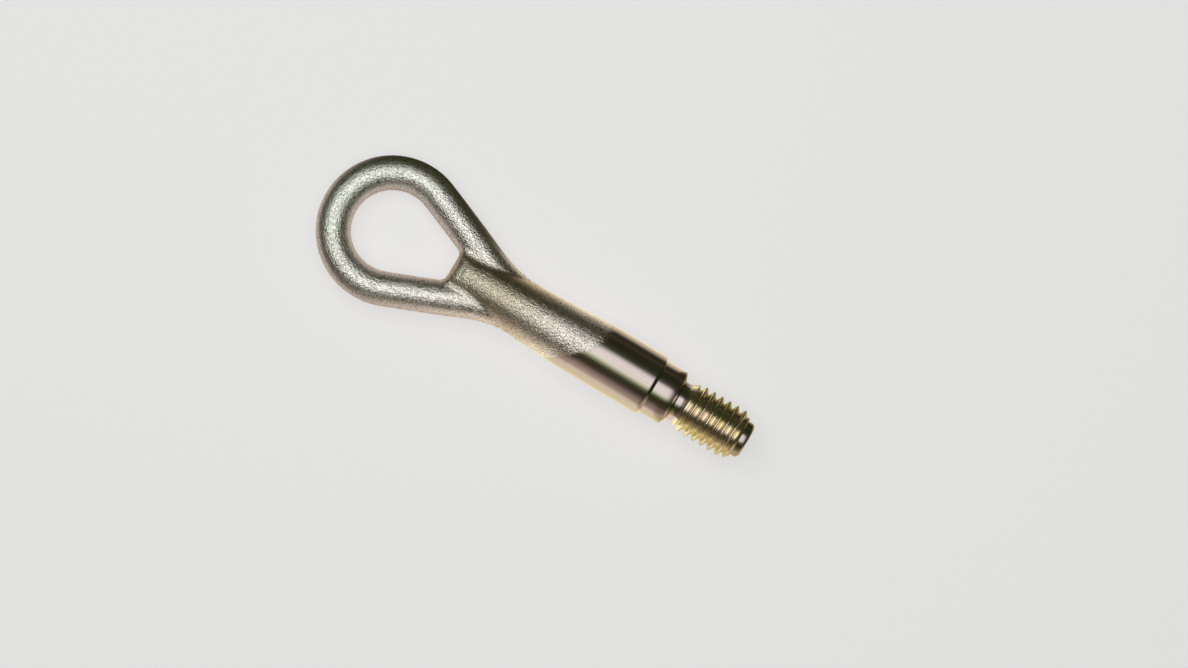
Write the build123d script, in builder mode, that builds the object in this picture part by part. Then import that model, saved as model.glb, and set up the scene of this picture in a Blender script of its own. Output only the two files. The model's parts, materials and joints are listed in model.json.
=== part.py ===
from build123d import *
import math
import os

# Screw-in tow eye: one steel forging with an open eye, turned behind the neck and cut with
# a left-hand thread. Millimetres. X runs along the turned axis from the eye to the thread tip,
# and Z stands square to the plane of the eye. The origin is on the axis, where the collar
# starts at the foot of the shank's chamfer. Distances are from the middle of the eye.

# Eye: a nearly round bar with the trimmed land of the flash at mid height
eye_to_collar = 101.4
eye_hole_d = 27.5
bar_width = 11.75
bar_thickness = 11.5
flash_height = 1.2
arm_angle = 22.5

# Web that closes the hole, where the forged bar flattens between the arms
web_distance = 23.3
web_width = 15.2
web_thickness = 12.4
web_rim_r = 9.0

# Throat, where the outer edge of each arm curves into the neck
throat_distance = 35.0
throat_r = 50.0

# Forged neck, which widens towards the shank and lies a little off the turned axis
neck_distance = 42.0
neck_d = 17.6
neck_taper = 3.2
forged_offset = -0.25

# Turned shank and collar
shank_length = 32.0
shank_d = 21.5
collar_d = 19.5
collar_length = 7.4
collar_fall = 1.3

# Left-hand thread with its undercut
undercut_d = 14.0
undercut_length = 3.2
thread_d = 18.0
thread_pitch = 3.0
thread_length = 22.4
thread_root_d = 14.3
thread_root_flat = 0.4
thread_flank_angle = 30.0
groove_lead = 0.15
run_in_angle = 30.0

# Plain pilot at the tip
pilot_d = 12.6
pilot_length = 2.8
pilot_chamfer = 0.8

# Spare stock around the turned profile, and the reach of the thread tool past the crests
stock = 4.0
tool_reach = 0.2

# Stations along the axis
eye_x = -eye_to_collar
web_x = eye_x + web_distance
neck_x = eye_x + neck_distance
undercut_x = collar_length + collar_fall
run_in_x = collar_length + undercut_length
thread_end_x = run_in_x + thread_length
tip_x = thread_end_x + pilot_length
stock_end_x = tip_x + stock

# Radii
ring_r = (eye_hole_d + bar_width) / 2
outer_r = ring_r + bar_width / 2
shank_r = shank_d / 2
collar_r = collar_d / 2
undercut_r = undercut_d / 2
thread_r = thread_d / 2
root_r = thread_root_d / 2
pilot_r = pilot_d / 2


def forged_r(x):
    return neck_d / 2 + (x - neck_x) * math.tan(math.radians(neck_taper))


# The stock reaches past the shank and past the forged bar at its widest
stock_r = max(shank_r, forged_r(stock_end_x) + abs(forged_offset)) + stock


def cross_plane(x, y=0):
    return Plane(origin=(x, y, 0), x_dir=(0, 1, 0), z_dir=(1, 0, 0))


with BuildPart() as tow_eye:
    # Forged bar, flat at the web and round from the neck on
    with BuildSketch(cross_plane(web_x)):
        Ellipse(web_width / 2, web_thickness / 2)
    for bar_x in (neck_x, stock_end_x):
        with BuildSketch(cross_plane(bar_x, forged_offset)):
            Circle(forged_r(bar_x))
    loft(ruled=True)

    # Rounded rim of the web along the straight end of the hole
    with BuildSketch(Plane.XZ):
        with BuildLine():
            rim = CenterArc((web_x + web_rim_r, 0), web_rim_r, 90, 180)
            side_z = 2 * stock_r
            Polyline(
                rim @ 0,
                (web_x + web_rim_r, side_z),
                (stock_end_x + stock, side_z),
                (stock_end_x + stock, -side_z),
                (web_x + web_rim_r, -side_z),
                rim @ 1,
            )
        make_face()
    extrude(amount=side_z, both=True, mode=Mode.INTERSECT)

    # Eye and arms: half the ring, a straight arm and the throat, mirrored
    with BuildLine() as arm_path:
        ring = CenterArc((eye_x, 0), ring_r, 180, -(90 + arm_angle))
        slope = math.radians(arm_angle)
        arm_length = (throat_distance - outer_r * math.sin(slope)) / math.cos(slope)
        arm_line = PolarLine(ring @ 1, arm_length, -arm_angle)
        JernArc(arm_line @ 1, arm_line % 1, throat_r + bar_width / 2, arm_angle)
    with BuildSketch(Plane(ring @ 0, x_dir=(-1, 0, 0), z_dir=ring % 0)):
        with BuildLine():
            half_width = bar_width / 2
            land = flash_height / 2
            Line((half_width, -land), (half_width, land))
            ThreePointArc((half_width, land), (0, bar_thickness / 2), (-half_width, land))
            Line((-half_width, land), (-half_width, -land))
            ThreePointArc((-half_width, -land), (0, -bar_thickness / 2), (half_width, -land))
        make_face()
    arm = sweep(path=arm_path.wire())
    mirror(arm, about=Plane.XZ)

    # Turned end: everything outside this profile comes off the forging
    with BuildSketch(Plane.XY):
        with BuildLine():
            thread_x = run_in_x + (thread_r - undercut_r) / math.tan(math.radians(run_in_angle))
            Polyline(
                (-shank_length, stock_r),
                (-shank_length, shank_r),
                (collar_r - shank_r, shank_r),
                (0, collar_r),
                (collar_length, collar_r),
                (undercut_x, undercut_r),
                (run_in_x, undercut_r),
                (thread_x, thread_r),
                (thread_end_x - (thread_r - root_r), thread_r),
                (thread_end_x, root_r),
                (thread_end_x, pilot_r),
                (tip_x - pilot_chamfer, pilot_r),
                (tip_x, pilot_r - pilot_chamfer),
                (tip_x, 0),
                (stock_end_x + stock, 0),
                (stock_end_x + stock, stock_r),
                (-shank_length, stock_r),
            )
        make_face()
    revolve(axis=Axis.X, mode=Mode.SUBTRACT)

    # Thread groove, a turn at a time from the undercut to past the end of the crests
    groove_x = run_in_x - groove_lead
    groove_turns = math.ceil((thread_end_x + thread_pitch / 2 - groove_x) / thread_pitch)
    tool_depth = thread_r - root_r + tool_reach
    tool_width = thread_root_flat + 2 * tool_depth * math.tan(math.radians(thread_flank_angle))
    for turn in range(groove_turns):
        with BuildLine():
            groove_path = Helix(
                thread_pitch,
                thread_pitch,
                root_r,
                center=(groove_x + turn * thread_pitch, 0, 0),
                direction=(1, 0, 0),
                lefthand=True,
            )
        with BuildSketch(Plane(groove_path @ 0, x_dir=(-1, 0, 0), z_dir=groove_path % 0)):
            with BuildLine():
                Polyline(
                    (-thread_root_flat / 2, 0),
                    (thread_root_flat / 2, 0),
                    (tool_width / 2, tool_depth),
                    (-tool_width / 2, tool_depth),
                    close=True,
                )
            make_face()
        sweep(path=groove_path, is_frenet=True, mode=Mode.SUBTRACT)

os.makedirs("parts", exist_ok=True)
tow_eye.part.label = "tow_eye"
export_step(tow_eye.part, "parts/tow_eye.step")
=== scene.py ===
import json
import math

import bmesh
import bpy
import numpy as np
import openvdb
from mathutils import Matrix, Vector, noise


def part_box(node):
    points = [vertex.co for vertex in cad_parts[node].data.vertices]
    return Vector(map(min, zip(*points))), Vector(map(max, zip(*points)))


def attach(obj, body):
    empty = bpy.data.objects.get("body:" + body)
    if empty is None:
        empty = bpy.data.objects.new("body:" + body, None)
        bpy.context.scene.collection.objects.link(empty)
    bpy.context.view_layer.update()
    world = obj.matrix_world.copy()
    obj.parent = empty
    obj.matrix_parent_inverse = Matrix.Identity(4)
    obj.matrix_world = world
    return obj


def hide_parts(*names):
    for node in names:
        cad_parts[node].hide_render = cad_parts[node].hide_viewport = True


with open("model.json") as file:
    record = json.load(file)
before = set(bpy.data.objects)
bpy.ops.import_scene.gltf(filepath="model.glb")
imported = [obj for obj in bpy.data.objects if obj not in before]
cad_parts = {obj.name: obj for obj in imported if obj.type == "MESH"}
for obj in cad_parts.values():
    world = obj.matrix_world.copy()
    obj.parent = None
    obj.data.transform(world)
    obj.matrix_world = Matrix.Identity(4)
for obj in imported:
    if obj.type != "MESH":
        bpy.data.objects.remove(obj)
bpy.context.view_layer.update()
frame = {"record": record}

# Screw-in tow eye: a forged eye and neck with a shot-blasted skin, and a turned end with a
# left-hand thread, all plated. X runs along the turned axis from the eye to the thread tip, and
# Z stands square to the eye. Sizes are in millimetres, and the main ones come from the frame.
MM = 0.001
tiny = 1e-6
low, high = (np.array(corner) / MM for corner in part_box("tow_eye"))
mounts = {mount["name"]: mount for mount in frame["record"]["mounts"]}

# Eye and arms: a nearly round bar with the small step of the flash at mid height
outer_r = float(high[1])
eye_x = float(low[0]) + outer_r
bar_width = 11.75
bar_thickness = 11.5
ring_r = outer_r - bar_width / 2
arm_angle = math.radians(21.6)
arm_bow_r = 900.0
flash_height = 1.2
flash_step = 0.22
flash_blend = 0.3

# Web that closes the hole, with its rounded rim
web_distance = 23.3
web_x = eye_x + web_distance
web_width = 15.2
web_thickness = 12.4
web_rim_depth = 4.5
web_rim_height = 7.1
web_edge_blend = 1.2

# Throat, where the outer edge of each arm curves into the neck, and the crease beside the web
throat_distance = 35.0
throat_r = 50.0
crease_fillet = 2.3
fillet_gain = 1.2
least_fillet = 0.02

# Neck, which widens towards the shank and lies a little off the turned axis
neck_distance = 53.0
neck_x = eye_x + neck_distance
neck_r = 9.6
neck_slope = math.tan(math.radians(2.74))
neck_flattening = 1.8
forged_offset = -0.25

# Turned shank, and the slanting line where the forged skin ends on it
shank_x = -32.0
shank_r = float(high[2])
skin_end_x = -23.9
skin_end_slant = 0.63
skin_end_bow = 0.048

# Collar and undercut
collar_r = mounts["collar"]["dims"]["r_mm"]
collar_length = mounts["collar"]["dims"]["length_mm"]
collar_fall = 1.3
undercut_r = 7.0
undercut_length = 3.2
undercut_start = collar_length + collar_fall
undercut_end = collar_length + undercut_length

# Left-hand thread
thread_r = mounts["thread"]["dims"]["r_mm"]
crest_length = mounts["thread"]["dims"]["length_mm"]
thread_middle = mounts["thread"]["pos_m"][0] / MM
crest_start = thread_middle - crest_length / 2
crest_end = thread_middle + crest_length / 2
thread_pitch = 3.0
root_r = 7.15
root_flat = 0.4
flank_slope = math.tan(math.radians(30))
groove_lead = 0.15
groove_x = undercut_end - groove_lead
thread_end = crest_end + thread_r - root_r

# Pilot at the tip
pilot_r = 6.3
pilot_chamfer = 0.8
tip_x = float(high[0])

# Mesh of the forged skin: a grid of distances, whose points then settle on the drawn form
skin_step = 0.4
skin_margin = 4 * skin_step
slope_step = 0.05
least_slope = 0.7
settle_rounds = 3
settle_move = skin_step / 3
rim_weld = skin_step / 4

# Mesh of the turned end: where it starts, its facets and rings, and the rounding of its edges
cut_x = -17.0
turned_facets = 120
facet_angles = np.arange(turned_facets) * math.tau / turned_facets
shank_step = 1.0
tip_rings = (0.6, 0.3)
edge_r = 0.12

# Mesh of the thread: rounding of crest and root, and the columns near each as shares of it
crest_blend = 0.3
root_blend = 0.2
crest_columns = np.array([-1.2, -1.0, -0.5, 0.0, 0.5, 1.0])
root_columns = np.array([-0.7, 0.0, 1.0, 1.3])

# Cleaning of the mesh, and the angle from which an edge is shown sharp
weld_reach = 0.004
sliver_width = 0.002
sharp_angle = math.radians(35)

# Roughness of the forged skin: size and height of its waves, how far it lies under the drawn
# form, and the length over which it fades out at the turned end
blast_waves = ((0.8, 0.02), (2.2, 0.02), (8.0, 0.03))
blast_depth = 0.05
blast_fade = 3.0

# Line between the forged skin and the turned end: reach of its mark, and how it frays
mark_reach = 3.0
edge_fray = 5.0
edge_softness = 0.3

# Patterns in the plating: their sizes, and their scales along the axes where drawn out
grain_size = 0.45
pit_size = 1.6
patch_size = 24.0
blotch_size = 7.0
streak_size = 0.9
streak_scale = (0.04, 1, 1)
tool_mark_size = 0.5
tool_mark_scale = (1, 0.06, 0.06)

# Colours that several pieces share
white = (1.0, 1.0, 1.0)
black = (0.0, 0.0, 0.0)

# Tint of the forged skin: its drift from green at the eye to pink at the neck, and its speckle
tint_at_eye = 0.2
tint_drift = 0.7
tint_patches = 0.6
forged_tints = [
    (0.30, (0.86, 0.92, 0.81)),
    (0.60, (0.89, 0.88, 0.81)),
    (0.95, (0.90, 0.82, 0.75)),
]
speckle_tints = [(0.36, (0.50, 0.47, 0.41)), (0.50, white)]

# Dull tint of the web, its blend into the arms and its end along the neck
web_tint = (0.74, 0.71, 0.60)
web_tint_blend = 2.0
web_tint_end = -34.0
web_tint_fade = 22.0

# Tint of the turned end: streaks, bands of iridescent plating colour along the shank (partly
# painted sheen), and gold in the thread
turned_tints = [
    (0.30, (0.465, 0.395, 0.37)),
    (0.50, (0.49, 0.43, 0.415)),
    (0.70, (0.455, 0.43, 0.35)),
]
# Bands of iridescent plating colour across the shank, partly painted sheen: they are placed where
# the highlight and the dark bands beside it fall.
sheen_band_middle = 0.45
sheen_band_wander = 0.1
film_and_sheen_tints = [
    (0.08, (1.00, 0.97, 0.86)),
    (0.20, (1.18, 1.03, 1.14)),
    (0.34, (0.84, 0.95, 0.54)),
    (0.43, (0.98, 0.97, 0.94)),
    (0.55, (0.96, 0.93, 0.96)),
    (0.68, (0.84, 1.00, 0.72)),
    (0.79, (1.06, 0.98, 0.98)),
]
golden_tints = [
    (0.38, (0.83, 0.72, 0.61)),
    (0.52, (0.81, 0.73, 0.56)),
    (0.66, (0.77, 0.73, 0.47)),
]
glancing_tint = (1.0, 0.90, 0.60)

# Roughness and relief of the plating, each as a share of its pattern and the base under it
forged_rough = (0.02, 0.275)
turned_rough = (0.12, 0.17)
shank_relief = (0.07, 0.59)
thread_relief = (0.35, 0.45)
pit_relief = 0.25
relief_height = 0.23

# The part lies a little rolled about its axis, so floor, lights and camera are rolled round it
stage_roll = Matrix.Rotation(math.radians(6.3), 4, "X")

# Floor: it touches the shank, clears the neck and passes a little under the ring
ring_drop = 2.2
floor_foot = Vector((eye_x, 0, -bar_thickness / 2 - ring_drop)) * MM
floor_heel = Vector((skin_end_x, 0, -shank_r)) * MM
floor_middle = (floor_foot + floor_heel) / 2
floor_along = (floor_heel - floor_foot).normalized()
floor_across = Vector((0, 1, 0))
floor_up = floor_along.cross(floor_across)

# Paper of the floor and of the dome round it, sizes in metres
floor_size = 40.0
floor_colour = (0.5, 0.5, 0.5)
dome_r = floor_size / 3
dome_facets = 64
paper_rough = 0.9
paper_glow = 0.555

# Cards flat on the floor: ends along the axis and sides across it, and stops of glow the same ways
card_lift = 0.5
tan_glow = (0.66, 0.56, 0.60)
tan_to_cream = (0.75, 0.64, 0.62)
cream_to_golden = (1.28, 1.24, 1.12)
dark_edge = (0.04, 0.04, 0.03)
soft_end = [(0, white), (0.928, white), (1, dark_edge)]
floor_cards = [
    {
        "name": "tan_card",
        "ends": (-162, -64),
        "sides": (-75, 28),
        "along_stops": [
            (0.00, (0.05, 0.05, 0.04)),
            (0.20, tan_glow),
            (0.76, tan_glow),
            (1.00, tan_to_cream),
        ],
        "across_stops": [
            (0.00, (0.06, 0.06, 0.05)),
            (0.28, white),
            (0.72, white),
            (1.00, dark_edge),
        ],
    },
    {
        "name": "cream_card",
        "ends": (-64, 8),
        "sides": (-380, 45),
        "along_stops": [
            (0.00, tan_to_cream),
            (0.35, (1.22, 1.18, 1.08)),
            (1.00, cream_to_golden),
        ],
        "across_stops": soft_end,
    },
    {
        "name": "golden_card",
        "ends": (8, 160),
        "sides": (-380, 29),
        "along_stops": [
            (0.00, cream_to_golden),
            (0.05, (0.70, 0.64, 0.46)),
        ],
        "across_stops": soft_end,
    },
]

# Cards that stand on the floor to both sides, sizes in metres
standing_length = 1.6
ring_glow = (0.27, 0.24, 0.23)
standing_cards = [
    {
        "name": "pale_card",
        "distance": -0.38,
        "height": 0.32,
        "along_stops": [
            (0.000, ring_glow),
            (0.455, ring_glow),
            (0.500, white),
            (0.538, white),
            (0.555, (0.48, 0.50, 0.46)),
        ],
        "up_stops": [
            (0.00, (0.78, 0.64, 0.56)),
            (0.35, (0.60, 0.50, 0.45)),
            (0.70, (0.24, 0.21, 0.16)),
            (1.00, (0.06, 0.06, 0.035)),
        ],
    },
    {
        "name": "brown_card",
        "distance": 0.84,
        "height": 0.16,
        "along_stops": [
            (0.00, white),
            (1.00, white),
        ],
        "up_stops": [
            (0.00, (0.13, 0.11, 0.08)),
            (1.00, (0.045, 0.045, 0.02)),
        ],
    },
]

# Softbox over the part and a little past its upper side, in metres, and the dim room round it
softbox_size = (1.6, 1.085)
softbox_place = (-0.22, 0.068, 1.0)
softbox_glow = (1.60, 1.60, 1.60)
softbox_along = [(0, black), (0.15, white), (0.85, white), (1, black)]
softbox_across = [(0, black), (0.244, softbox_glow), (0.833, softbox_glow), (1, black)]
room_glow = (0.036, 0.036, 0.017)

# Camera: the photograph's turn and place over the part, and the width that the picture spans
camera_turn = math.radians(30.8)
view_centre = (-26.1, 4.9)
view_width = 396.0
camera_lens = 80.0
sensor_width = 36.0


# Form of the forging


def smooth_min(first, second, width):
    """The smaller of two fields, rounded where they come within the given width."""
    overlap = np.maximum(width - np.abs(first - second), 0)
    return np.minimum(first, second) - overlap**2 / (4 * width)


def ellipse_field(across, up, half_across, half_up):
    """Distance outside an ellipse, close to true near its edge."""
    reach = np.hypot(across / half_across, up / half_up)
    slope = np.hypot(across / half_across**2, up / half_up**2)
    return np.where(slope > tiny, (reach - 1) * reach / np.maximum(slope, tiny), -half_up)


def gradient(field, x, y, z):
    """Slope of a field along the three axes."""
    return np.array([
        field(x + slope_step, y, z) - field(x - slope_step, y, z),
        field(x, y + slope_step, z) - field(x, y - slope_step, z),
        field(x, y, z + slope_step) - field(x, y, z - slope_step),
    ]) / (2 * slope_step)


def arm_path():
    """Start and end of the +Y arm, centres of its bow and throat, and its angle at the end."""
    length = (throat_distance - outer_r * math.sin(arm_angle)) / math.cos(arm_angle)
    end_angle = arm_angle + length / arm_bow_r
    first = np.array([math.sin(arm_angle), math.cos(arm_angle)])
    last = np.array([math.sin(end_angle), math.cos(end_angle)])
    start = np.array([eye_x, 0.0]) + ring_r * first
    bow = start - arm_bow_r * first
    end = bow + arm_bow_r * last
    throat = end + (throat_r + bar_width / 2) * last
    return start, end, bow, throat, end_angle


def arm_field(x, y, z):
    """Distance outside the bar of the eye, which runs round the ring and along both arms."""
    side = np.abs(y)
    start, end, bow, throat, end_angle = arm_path()
    path_r = throat_r + bar_width / 2
    past_start = (x - start[0]) * math.cos(arm_angle) - (side - start[1]) * math.sin(arm_angle)
    past_end = (x - end[0]) * math.cos(end_angle) - (side - end[1]) * math.sin(end_angle)
    across = np.where(
        past_start < 0,
        np.hypot(x - eye_x, y) - ring_r,
        np.hypot(x - bow[0], side - bow[1]) - arm_bow_r,
    )
    across = np.where(past_end < 0, across, path_r - np.hypot(x - throat[0], side - throat[1]))
    across = np.abs(np.where(x > throat[0], side - throat[1] + path_r, across))
    land = flash_height / 2
    above_land = np.maximum(np.abs(z) - land, 0)
    crown = ellipse_field(across, above_land, bar_width / 2 - flash_step, bar_thickness / 2 - land)
    flash = np.maximum(across - bar_width / 2, np.abs(z) - land)
    return smooth_min(crown, flash, flash_blend)


def core_field(x, y, z):
    """Distance outside the middle bar, flat at the web and round from the neck on."""
    part_way = np.clip((x - web_x) / (neck_x - web_x), 0, 1)
    flat = (1 - part_way) ** neck_flattening
    cone_r = neck_r + (x - neck_x) * neck_slope
    web_cone_r = neck_r + (web_x - neck_x) * neck_slope
    half_y = cone_r + (web_width / 2 - web_cone_r) * flat
    half_z = cone_r + (web_thickness / 2 - web_cone_r) * flat
    bar = ellipse_field(y - forged_offset * part_way, z, half_y, half_z)
    rim_x = web_x + web_rim_depth
    rim = ellipse_field(np.minimum(x - rim_x, 0), z, web_rim_depth, web_rim_height)
    rim = np.where(x < rim_x, rim, -web_rim_depth)
    return -smooth_min(-bar, -rim, web_edge_blend)


def forged_field(x, y, z):
    """Bar and arms with a fillet in the crease, which fades out where they run together."""
    arm = arm_field(x, y, z)
    core = core_field(x, y, z)
    skin = np.minimum(arm, core)
    near = (np.abs(arm) < crease_fillet) & (np.abs(core) < crease_fillet)
    spot = x[near], y[near], z[near]
    arm_slope = gradient(arm_field, *spot)
    core_slope = gradient(core_field, *spot)
    norms = np.linalg.norm(arm_slope, axis=0) * np.linalg.norm(core_slope, axis=0)
    opening = 1 - (arm_slope * core_slope).sum(axis=0) / np.maximum(norms, tiny)
    fillet = crease_fillet * np.clip(opening * fillet_gain, least_fillet, 1)
    skin[near] = smooth_min(arm[near], core[near], fillet)
    turned = np.where(x > shank_x, np.hypot(y, z) - shank_r, -shank_r)
    return np.maximum(skin, turned)


def forged_skin():
    """Points and quads of the forged form, to just past the start of the turned end."""
    axes = [
        np.arange(low[0] - skin_margin, cut_x + skin_margin, skin_step),
        np.arange(low[1] - skin_margin, high[1] + skin_margin, skin_step),
        np.arange(low[2] - skin_margin, high[2] + skin_margin, skin_step),
    ]
    x, y, z = np.meshgrid(*axes, indexing="ij")
    distances = np.clip(forged_field(x, y, z), -skin_margin, skin_margin)
    grid = openvdb.FloatGrid(background=skin_margin)
    grid.copyFromArray(distances.astype(np.float32))
    points, quads = grid.convertToQuads(isovalue=0.0)
    points = points.astype(float) * skin_step + [axis[0] for axis in axes]
    inside = points[:, 0] < cut_x + skin_step
    for _ in range(settle_rounds):
        spot = points[inside].T
        slope = gradient(forged_field, *spot)
        move = forged_field(*spot) * slope / np.maximum((slope**2).sum(axis=0), least_slope)
        points[inside] -= np.clip(move, -settle_move, settle_move).T
    return points, quads


# Turned end


def rounded(before, corner, after):
    """Two points in place of a corner, a little before and after it."""
    corner = np.array(corner)
    pair = []
    for other in (before, after):
        way = np.array(other) - corner
        pair.append(tuple(corner + way / np.linalg.norm(way) * edge_r))
    return pair


def turned_profile():
    """Stations (x, r) of the turned end before and after the thread."""
    shank_end = (collar_r - shank_r, shank_r)
    collar_start = (0.0, collar_r)
    collar_end = (collar_length, collar_r)
    fall = (undercut_start, undercut_r)
    shank_rings = np.arange(cut_x + shank_step, shank_end[0] - edge_r, shank_step)
    before = [(x, shank_r) for x in shank_rings]
    before += rounded((cut_x, shank_r), shank_end, collar_start)
    before += [collar_start, (collar_length / 2, collar_r)]
    before += rounded(collar_start, collar_end, fall)
    before += [fall, (undercut_end, undercut_r)]
    pilot_start = (thread_end, pilot_r)
    pilot_end = (tip_x - pilot_chamfer, pilot_r)
    tip_edge = (tip_x, pilot_r - pilot_chamfer)
    after = [(thread_end, root_r), pilot_start]
    after += rounded(pilot_start, pilot_end, tip_edge)
    after += rounded(pilot_end, tip_edge, (tip_x, 0.0))
    after += [(tip_x, pilot_r * share) for share in tip_rings]
    return before, after


def thread_columns():
    """Places of the mesh columns in one pitch, counted from the middle of the groove."""
    corner = root_flat / 2 + (thread_r - root_r) * flank_slope
    near = root_flat / 2 + root_blend * flank_slope * root_columns
    far = corner + crest_blend * flank_slope * crest_columns
    half = [0.0, *near, (near[-1] + far[0]) / 2, *far, thread_pitch / 2]
    return half + [thread_pitch - place for place in reversed(half[1:-1])]


def groove_radius(place):
    """Radius of the thread at a distance from the middle of its groove."""
    flank = root_r + (np.abs(place) - root_flat / 2) / flank_slope
    return smooth_min(-smooth_min(-flank, -root_r, root_blend), thread_r, crest_blend)


def blank_radius(x):
    """Radius of the turned blank under the thread, with its run-in and its chamfered end."""
    climb = (x - undercut_end) / (crest_start - undercut_end)
    run_in = (thread_r - undercut_r) * climb + undercut_r
    chamfer = thread_r - (x - crest_end)
    return np.minimum(np.minimum(run_in, chamfer), thread_r)


def turn_of(vert):
    """Angle of a point round the axis, from +Z towards +Y."""
    return math.atan2(vert.co.y, vert.co.z) % math.tau


def close_up(body, first, second):
    """Triangles between two loops of points, each in order of their angle round the axis."""
    first_turns = [turn_of(vert) for vert in first] + [turn_of(first[0]) + math.tau]
    second_turns = [turn_of(vert) for vert in second] + [turn_of(second[0]) + math.tau]
    i = j = 0
    while i < len(first) or j < len(second):
        near = first[i % len(first)]
        far = second[j % len(second)]
        if j == len(second) or (i < len(first) and first_turns[i + 1] < second_turns[j + 1]):
            i += 1
            body.faces.new((near, first[i % len(first)], far))
        else:
            j += 1
            body.faces.new((near, second[j % len(second)], far))


def add_ring(body, x, radius):
    """Points round the axis, at one station and radius for all or at one for each."""
    places = np.broadcast_to(x, facet_angles.shape)
    radii = np.broadcast_to(radius, facet_angles.shape)
    return [
        body.verts.new((place, r * math.sin(angle), r * math.cos(angle)))
        for place, r, angle in zip(places, radii, facet_angles)
    ]


def join_rings(body, first, second):
    """Quads between two rings."""
    for index in range(turned_facets):
        following = (index + 1) % turned_facets
        body.faces.new((first[index], first[following], second[following], second[index]))


def add_rings(body, last, stations):
    """Rings at the given stations, each joined to the one before. Returns the last of them."""
    for station in stations:
        following = add_ring(body, *station)
        join_rings(body, last, following)
        last = following
    return last


def add_thread(body, last):
    """Thread from undercut to chamfered end. After a turn a column runs on as the next pitch's."""
    columns = thread_columns()
    turns = math.ceil((thread_end - groove_x) / thread_pitch)
    lead = thread_pitch * facet_angles / math.tau
    rows = []
    for turn in range(-1, turns + 1):
        for place in columns:
            x = np.clip(groove_x + thread_pitch * turn + place + lead, undercut_end, thread_end)
            offset = (x - groove_x - lead + thread_pitch / 2) % thread_pitch - thread_pitch / 2
            rows.append(add_ring(body, x, np.minimum(groove_radius(offset), blank_radius(x))))
    join_rings(body, last, rows[0])
    for row in range(len(rows) - 1):
        for index in range(turned_facets):
            following = (index + 1) % turned_facets
            turned_on = len(columns) if following == 0 else 0
            near_row = min(row + turned_on, len(rows) - 1)
            far_row = min(row + 1 + turned_on, len(rows) - 1)
            corners = (
                rows[row][index],
                rows[near_row][following],
                rows[far_row][following],
                rows[row + 1][index],
            )
            if len(set(corners)) == len(corners):
                body.faces.new(corners)
    return rows[-1]


def add_turned_end(body, loop):
    """Shank, collar, undercut, thread and pilot, from the given loop to the middle of the tip."""
    before, after = turned_profile()
    last = add_ring(body, *before[0])
    close_up(body, loop, last)
    last = add_rings(body, last, before[1:])
    last = add_thread(body, last)
    last = add_rings(body, last, after)
    middle = body.verts.new((tip_x, 0, 0))
    for index, vert in enumerate(last):
        body.faces.new((vert, last[(index + 1) % len(last)], middle))


# Whole mesh


def read_vectors(items, name):
    """The named vectors of a mesh's items as rows of an array."""
    values = np.empty(len(items) * 3)
    items.foreach_get(name, values)
    return values.reshape(-1, 3)


def skin_end(y):
    """Station where the forged skin gives way to the shank, a slanting line round the bar."""
    return skin_end_x + skin_end_slant * y - skin_end_bow * y**2


def cut_square(body):
    """Cuts the skin off where the turned end starts. Returns its rim in order round the axis."""
    everything = body.verts[:] + body.edges[:] + body.faces[:]
    bmesh.ops.bisect_plane(
        body,
        geom=everything,
        plane_co=(cut_x, 0, 0),
        plane_no=(1, 0, 0),
        clear_outer=True,
    )
    rim = [vert for vert in body.verts if vert.is_boundary]
    bmesh.ops.remove_doubles(body, verts=rim, dist=rim_weld)
    rim = [vert for vert in body.verts if vert.is_boundary]
    for vert in rim:
        scale = shank_r / math.hypot(vert.co.y, vert.co.z)
        vert.co = (cut_x, vert.co.y * scale, vert.co.z * scale)
    return sorted(rim, key=turn_of)


def roughen(mesh):
    """Roughens the forged skin a little, mostly inwards, and leaves the turned end as it is."""
    places = read_vectors(mesh.vertices, "co")
    normals = read_vectors(mesh.vertex_normals, "vector")
    rise = np.zeros(len(places))
    for size, height in blast_waves:
        rise += [height * noise.noise(spot) for spot in places / size]
    fade = np.clip((skin_end(places[:, 1]) - places[:, 0]) / blast_fade, 0, 1)
    places += normals * (fade * (rise - blast_depth))[:, None]
    mesh.vertices.foreach_set("co", places.ravel())


def make_mesh():
    """The whole part as one closed mesh, still in millimetres."""
    points, quads = forged_skin()
    mesh = bpy.data.meshes.new("tow_eye_body")
    mesh.from_pydata(points.tolist(), [], quads.tolist())
    body = bmesh.new()
    body.from_mesh(mesh)
    add_turned_end(body, cut_square(body))
    bmesh.ops.remove_doubles(body, verts=body.verts[:], dist=weld_reach)
    bmesh.ops.dissolve_degenerate(body, edges=body.edges[:], dist=sliver_width)
    bmesh.ops.recalc_face_normals(body, faces=body.faces[:])
    body.to_mesh(mesh)
    body.free()
    roughen(mesh)
    return mesh


def store_marks(mesh):
    """Stores how far each point lies past the forged skin, and what is thread and web."""
    x, y, z = read_vectors(mesh.vertices, "co").T
    past = np.clip(x - skin_end(y), -mark_reach, mark_reach)
    threaded = np.clip(np.minimum(x - undercut_end, thread_end - x), 0, 1)
    core_share = (arm_field(x, y, z) - core_field(x, y, z)) / web_tint_blend + 0.5
    webbed = np.clip(core_share, 0, 1) * np.clip((web_tint_end - x) / web_tint_fade, 0, 1)
    for name, values in (("past_skin", past), ("threaded", threaded), ("webbed", webbed)):
        layer = mesh.attributes.new(name, "FLOAT", "POINT")
        layer.data.foreach_set("value", values.astype(np.float32))


# Materials


def add_node(tree, kind, **settings):
    """A node with the given settings, which name either its inputs or its properties."""
    made = tree.nodes.new(kind)
    for name, value in settings.items():
        label = name.replace("_", " ").title()
        if label in made.inputs:
            made.inputs[label].default_value = value
        else:
            setattr(made, name, value)
    return made


def feed(tree, socket, value):
    """Sets a socket to a constant, or links it to what another node gives."""
    if isinstance(value, (int, float, tuple)):
        socket.default_value = value
    else:
        tree.links.new(value, socket)


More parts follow.
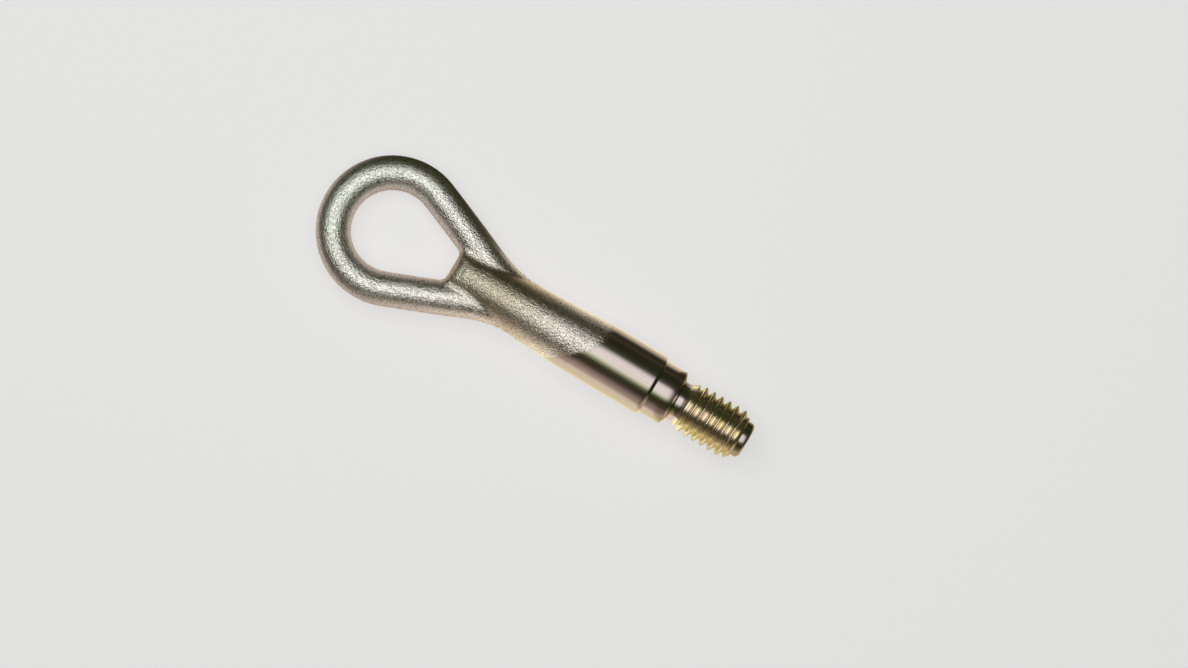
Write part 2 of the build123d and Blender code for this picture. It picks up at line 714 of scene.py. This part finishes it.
def add_ramp(tree, factor, stops):
    """A colour ramp over the given stops of place and colour."""
    made = tree.nodes.new("ShaderNodeValToRGB")
    points = made.color_ramp.elements
    while len(points) < len(stops):
        points.new(0.5)
    for point, (place, colour) in zip(points, stops):
        point.position = place
        point.color = (*colour, 1)
    feed(tree, made.inputs["Fac"], factor)
    return made.outputs["Color"]


def add_scaled(tree, value, share, base):
    """A share of a value, added to a base."""
    made = add_node(tree, "ShaderNodeMath", operation="MULTIPLY_ADD")
    for socket, given in zip(made.inputs, (value, share, base)):
        feed(tree, socket, given)
    return made.outputs["Value"]


def add_mix(tree, factor, first, second, kind="RGBA", blend="MIX"):
    """A mix of two colours or two numbers by a factor."""
    made = add_node(tree, "ShaderNodeMix", data_type=kind, blend_type=blend)
    wanted = {"RGBA": "RGBA", "FLOAT": "VALUE"}[kind]
    ends = [socket for socket in made.inputs if socket.type == wanted and socket.name in "AB"]
    feed(tree, made.inputs["Factor"], factor)
    for socket, given in zip(ends, (first, second)):
        feed(tree, socket, given)
    return next(socket for socket in made.outputs if socket.type == wanted)


def add_product(tree, first, second):
    """Two colours multiplied."""
    return add_mix(tree, 1.0, first, second, blend="MULTIPLY")


def add_mark(tree, name):
    """One of the marks that are stored on the mesh."""
    return add_node(tree, "ShaderNodeAttribute", attribute_name=name).outputs["Fac"]


def add_split(tree, vector):
    """The three numbers of a vector, by the names of their axes."""
    made = tree.nodes.new("ShaderNodeSeparateXYZ")
    feed(tree, made.inputs["Vector"], vector)
    return made.outputs


def add_stretch(tree, place, scale):
    """Places that draw a pattern out along the axes whose scale is small."""
    made = add_node(tree, "ShaderNodeMapping", scale=scale)
    feed(tree, made.inputs["Vector"], place)
    return made.outputs["Vector"]


def add_noise(tree, place, size, detail=2):
    """Noise whose features are about the given size."""
    made = add_node(tree, "ShaderNodeTexNoise", scale=1 / (size * MM), detail=detail)
    feed(tree, made.inputs["Vector"], place)
    return made.outputs["Fac"]


def add_turned_share(tree, grain):
    """0 on the forged skin and 1 on the turned end, with a frayed line between them."""
    fray = add_scaled(tree, grain, edge_fray, -edge_fray / 2)
    past = add_scaled(tree, add_mark(tree, "past_skin"), 1.0, fray)
    made = add_node(tree, "ShaderNodeMapRange", interpolation_type="SMOOTHSTEP")
    made.inputs["From Min"].default_value = -edge_softness
    made.inputs["From Max"].default_value = edge_softness
    feed(tree, made.inputs["Value"], past)
    return made.outputs["Result"]


def add_forged_colour(tree, place, grain):
    """Colour of the forged skin, which drifts from the eye to the neck and is duller on the web."""
    along = add_split(tree, place)["X"]
    drift = add_scaled(tree, along, tint_drift / (-eye_x * MM), tint_drift + tint_at_eye)
    patches = add_noise(tree, place, patch_size)
    tint = add_ramp(tree, add_scaled(tree, patches, tint_patches, drift), forged_tints)
    speckle = add_ramp(tree, grain, speckle_tints)
    dulling = add_mix(tree, add_mark(tree, "webbed"), (*white, 1), (*web_tint, 1))
    return add_product(tree, add_product(tree, tint, speckle), dulling)


def add_turned_colour(tree, place, streaks, threaded):
    """Colour of the turned end, with bands of iridescent plating colour along the shank, partly
    painted sheen that follows the highlight, and gold in the thread.
    """
    side = add_split(tree, place)["Y"]
    # Painted sheen, partly real iridescent plating: colour bands by height across the shank, set
    # where the highlight and its dark sides fall.
    sheen_band_place = add_scaled(tree, side, 1 / (2 * shank_r * MM), sheen_band_middle)
    film_and_sheen = add_ramp(tree, add_scaled(tree, streaks, sheen_band_wander, sheen_band_place), film_and_sheen_tints)
    shank = add_product(tree, add_ramp(tree, streaks, turned_tints), film_and_sheen)
    golden = add_ramp(tree, add_noise(tree, place, blotch_size), golden_tints)
    return add_mix(tree, threaded, shank, golden)


def plated_steel():
    """Yellow passivated zinc: grainy on the skin, smooth on the shank, golden in the thread."""
    material = bpy.data.materials.new("plated_steel_finish")
    material.use_nodes = True
    tree = material.node_tree
    place = tree.nodes.new("ShaderNodeTexCoord").outputs["Object"]
    grain = add_noise(tree, place, grain_size, detail=1)
    pits = add_noise(tree, place, pit_size)
    streaks = add_noise(tree, add_stretch(tree, place, streak_scale), streak_size, detail=3)
    tool_marks = add_noise(tree, add_stretch(tree, place, tool_mark_scale), tool_mark_size)
    threaded = add_mark(tree, "threaded")
    turned = add_turned_share(tree, grain)

    forged_colour = add_forged_colour(tree, place, grain)
    turned_colour = add_turned_colour(tree, place, streaks, threaded)
    colour = add_mix(tree, turned, forged_colour, turned_colour)

    skin_rough = add_scaled(tree, pits, *forged_rough)
    shank_rough = add_scaled(tree, streaks, *turned_rough)
    rough = add_mix(tree, turned, skin_rough, shank_rough, "FLOAT")

    skin_height = add_scaled(tree, pits, pit_relief, grain)
    shank_height = add_scaled(tree, streaks, *shank_relief)
    thread_height = add_scaled(tree, tool_marks, *thread_relief)
    turned_height = add_mix(tree, threaded, shank_height, thread_height, "FLOAT")
    height = add_mix(tree, turned, skin_height, turned_height, "FLOAT")
    bump = add_node(tree, "ShaderNodeBump", strength=1.0, distance=relief_height * MM)
    feed(tree, bump.inputs["Height"], height)

    shader = tree.nodes["Principled BSDF"]
    shader.inputs["Metallic"].default_value = 1.0
    shader.inputs["Specular Tint"].default_value = (*glancing_tint, 1)
    feed(tree, shader.inputs["Base Color"], colour)
    feed(tree, shader.inputs["Roughness"], rough)
    feed(tree, shader.inputs["Normal"], bump.outputs["Normal"])
    return material


def glowing_paper(name, colour):
    """A matt paper for the stage, which glows a little."""
    material = bpy.data.materials.new(name)
    material.use_nodes = True
    shader = material.node_tree.nodes["Principled BSDF"]
    shader.inputs["Base Color"].default_value = (*colour, 1)
    shader.inputs["Roughness"].default_value = paper_rough
    shader.inputs["Specular IOR Level"].default_value = 0.0
    shader.inputs["Emission Color"].default_value = (*white, 1)
    shader.inputs["Emission Strength"].default_value = paper_glow
    return material


def graded_glow(name, along_stops, up_stops):
    """A light whose colour follows the given stops along it and up it, each from edge to edge."""
    material = bpy.data.materials.new(name)
    material.use_nodes = True
    tree = material.node_tree
    place = add_split(tree, tree.nodes.new("ShaderNodeTexCoord").outputs["UV"])
    along = add_ramp(tree, place["X"], along_stops)
    upward = add_ramp(tree, place["Y"], up_stops)
    glow = tree.nodes.new("ShaderNodeEmission")
    feed(tree, glow.inputs["Color"], add_product(tree, along, upward))
    feed(tree, tree.nodes["Material Output"].inputs["Surface"], glow.outputs["Emission"])
    return material


# The part


def make_tow_eye():
    """The tow eye in metres, in place of the solid."""
    mesh = make_mesh()
    store_marks(mesh)
    mesh.transform(Matrix.Scale(MM, 4))
    mesh.shade_smooth()
    mesh.set_sharp_from_angle(angle=sharp_angle)
    mesh.materials.append(plated_steel())
    piece = bpy.data.objects.new("tow_eye_body", mesh)
    bpy.context.collection.objects.link(piece)
    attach(piece, "root")
    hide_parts("tow_eye")


# Stage: floor, cards, lights and camera


def stage_piece(name, mesh, material):
    """An object of the stage."""
    mesh.materials.append(material)
    piece = bpy.data.objects.new(name, mesh)
    bpy.context.collection.objects.link(piece)
    return piece


def make_plane(name, size, centre, right, up, material):
    """A flat piece of the stage round its centre, rolled with the stage."""
    half_right = right * (size[0] / 2)
    half_up = up * (size[1] / 2)
    corners = (
        centre - half_right - half_up,
        centre + half_right - half_up,
        centre + half_right + half_up,
        centre - half_right + half_up,
    )
    mesh = bpy.data.meshes.new(name)
    mesh.from_pydata([(stage_roll @ corner)[:] for corner in corners], [], [(0, 1, 2, 3)])
    mesh.uv_layers.new(name="UVMap").data.foreach_set("uv", (0, 0, 1, 0, 1, 1, 0, 1))
    return stage_piece(name, mesh, material)


def hide_from_light(piece):
    """Keeps a piece from casting shadows and from lighting matt surfaces."""
    piece.visible_shadow = False
    piece.visible_diffuse = False


def make_floor():
    """A pale floor under the part. The metal mirrors cards in its place."""
    paper = glowing_paper("floor_paper", floor_colour)
    size = (floor_size, floor_size)
    floor = make_plane("floor", size, floor_middle, floor_along, floor_across, paper)
    floor.visible_glossy = False


def make_backdrop():
    """A pale dome far round the stage, which only the camera sees."""
    dome = bmesh.new()
    bmesh.ops.create_uvsphere(
        dome,
        u_segments=dome_facets,
        v_segments=dome_facets // 2,
        radius=dome_r,
    )
    mesh = bpy.data.meshes.new("backdrop")
    dome.to_mesh(mesh)
    dome.free()
    backdrop = stage_piece("backdrop", mesh, glowing_paper("backdrop_paper", black))
    hide_from_light(backdrop)
    backdrop.visible_glossy = False


def floor_card(name, ends, sides, along_stops, across_stops):
    """A card flat on the floor, given by the ends of its reach along the axis and across it."""
    from_middle = (sum(ends) / 2 * MM - floor_middle.x) / floor_along.x
    centre = (
        floor_middle
        + floor_along * from_middle
        + floor_across * (sum(sides) / 2 * MM)
        + floor_up * (card_lift * MM)
    )
    size = ((ends[1] - ends[0]) * MM, (sides[1] - sides[0]) * MM)
    glow = graded_glow(name, along_stops, across_stops)
    return make_plane(name, size, centre, floor_along, floor_across, glow)


def standing_card(name, distance, height, along_stops, up_stops):
    """A card that stands on the floor along the part, at a distance to its side."""
    centre = floor_middle + floor_across * distance + floor_up * (height / 2)
    glow = graded_glow(name, along_stops, up_stops)
    return make_plane(name, (standing_length, height), centre, floor_along, floor_up, glow)


def make_cards():
    """What the metal mirrors: cards on the floor round it, and cards that stand to both sides."""
    cards = [floor_card(**card) for card in floor_cards]
    cards += [standing_card(**card) for card in standing_cards]
    for card in cards:
        card.visible_camera = False
        hide_from_light(card)


def make_lights():
    """A softbox that fades towards its edges, and a dim room."""
    glow = graded_glow("softbox", softbox_along, softbox_across)
    centre = Vector(softbox_place)
    right = Vector((1, 0, 0))
    softbox = make_plane("softbox", softbox_size, centre, right, floor_across, glow)
    softbox.visible_camera = False
    world = bpy.data.worlds.new("studio")
    world.use_nodes = True
    world.node_tree.nodes["Background"].inputs["Color"].default_value = (*room_glow, 1)
    bpy.context.scene.world = world
    bpy.context.scene.view_settings.view_transform = "Standard"


def make_camera():
    """A camera square over the rolled stage, as far off as the picture's width needs."""
    data = bpy.data.cameras.new("camera")
    data.lens = camera_lens
    data.sensor_width = sensor_width
    camera = bpy.data.objects.new("camera", data)
    distance = view_width * camera_lens / sensor_width
    place = Matrix.Translation(Vector((*view_centre, distance)) * MM)
    camera.matrix_world = stage_roll @ place @ Matrix.Rotation(camera_turn, 4, "Z")
    bpy.context.collection.objects.link(camera)
    bpy.context.scene.camera = camera


make_tow_eye()
make_floor()
make_backdrop()
make_cards()
make_lights()
make_camera()
